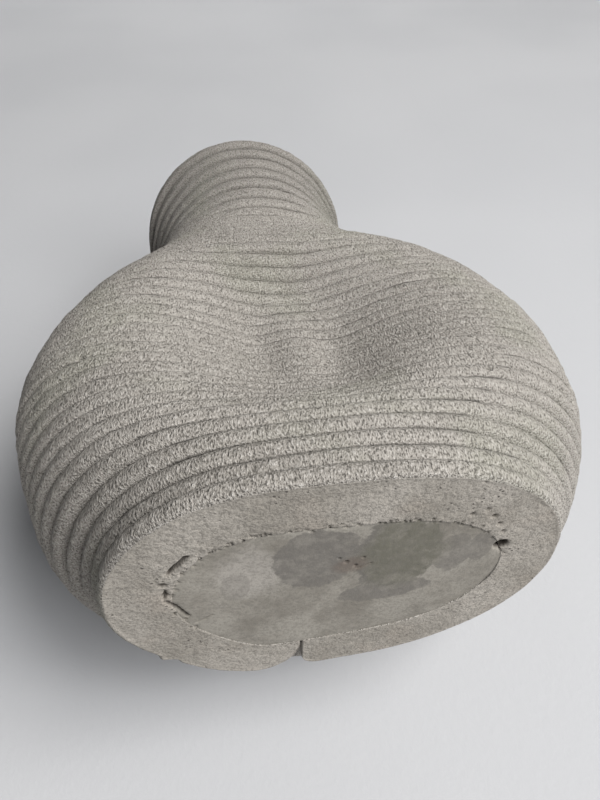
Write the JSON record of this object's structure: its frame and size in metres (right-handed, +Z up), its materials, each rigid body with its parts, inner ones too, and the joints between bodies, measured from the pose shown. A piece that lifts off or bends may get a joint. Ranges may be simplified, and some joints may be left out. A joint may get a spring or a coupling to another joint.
{
  "type": "printed concrete vase",
  "caption": "Layer-printed concrete vase with an oval foot, a bulging dented belly and a flared round neck, stored lying on its side; holds stems or stands as decor.",
  "frame": {"origin": "middle of the bounding box on the bench it lies on, Z = 0 at the bench", "axes": "+Z up; the vase lies down with its axis along +Y, foot towards -Y and rim towards +Y, the dented side facing up. Turned 90 degrees about X it stands on its foot."},
  "size_m": [0.27, 0.301, 0.1832],
  "materials": {
    "mortar_01": "rough, as printed",
    "mortar_02": "rough, as printed",
    "mortar_03": "rough, as printed",
    "mortar_04": "rough, as printed",
    "mortar_05": "rough, as printed",
    "mortar_06": "rough, as printed",
    "mortar_07": "rough, as printed",
    "mortar_08": "rough, as printed",
    "mortar_09": "rough, as printed",
    "mortar_10": "rough, as printed",
    "mortar_11": "rough, as printed",
    "mortar_12": "rough, as printed",
    "mortar_13": "rough, as printed",
    "mortar_14": "rough, as printed",
    "mortar_15": "rough, as printed",
    "mortar_16": "rough, as printed",
    "mortar_17": "rough, as printed",
    "mortar_18": "rough, as printed",
    "mortar_19": "rough, as printed",
    "mortar_20": "rough, as printed",
    "mortar_21": "rough, as printed",
    "mortar_22": "rough, as printed",
    "mortar_23": "rough, as printed",
    "mortar_24": "rough, as printed",
    "mortar_25": "rough, as printed",
    "mortar_26": "rough, as printed",
    "mortar_27": "rough, as printed",
    "mortar_28": "rough, as printed",
    "mortar_29": "rough, as printed",
    "mortar_30": "rough, as printed",
    "mortar_31": "rough, as printed",
    "mortar_32": "rough, as printed",
    "mortar_33": "rough, as printed",
    "mortar_34": "rough, as printed",
    "mortar_35": "rough, as printed",
    "mortar_36": "rough, as printed",
    "mortar_37": "rough, as printed",
    "poured_screed": "trowelled, damp in patches"
  },
  "bodies": {
    "root": {"course_01": "mortar_01", "course_02": "mortar_02", "course_03": "mortar_03", "course_04": "mortar_04", "course_05": "mortar_05", "course_06": "mortar_06", "course_07": "mortar_07", "course_08": "mortar_08", "course_09": "mortar_09", "course_10": "mortar_10", "course_11": "mortar_11", "course_12": "mortar_12", "course_13": "mortar_13", "course_14": "mortar_14", "course_15": "mortar_15", "course_16": "mortar_16", "course_17": "mortar_17", "course_18": "mortar_18", "course_19": "mortar_19", "course_20": "mortar_20", "course_21": "mortar_21", "course_22": "mortar_22", "course_23": "mortar_23", "course_24": "mortar_24", "course_25": "mortar_25", "course_26": "mortar_26", "course_27": "mortar_27", "course_28": "mortar_28", "course_29": "mortar_29", "course_30": "mortar_30", "course_31": "mortar_31", "course_32": "mortar_32", "course_33": "mortar_33", "course_34": "mortar_34", "course_35": "mortar_35", "course_36": "mortar_36", "course_37": "mortar_37", "foot_plug": "poured_screed"}
  },
  "joints": []
}
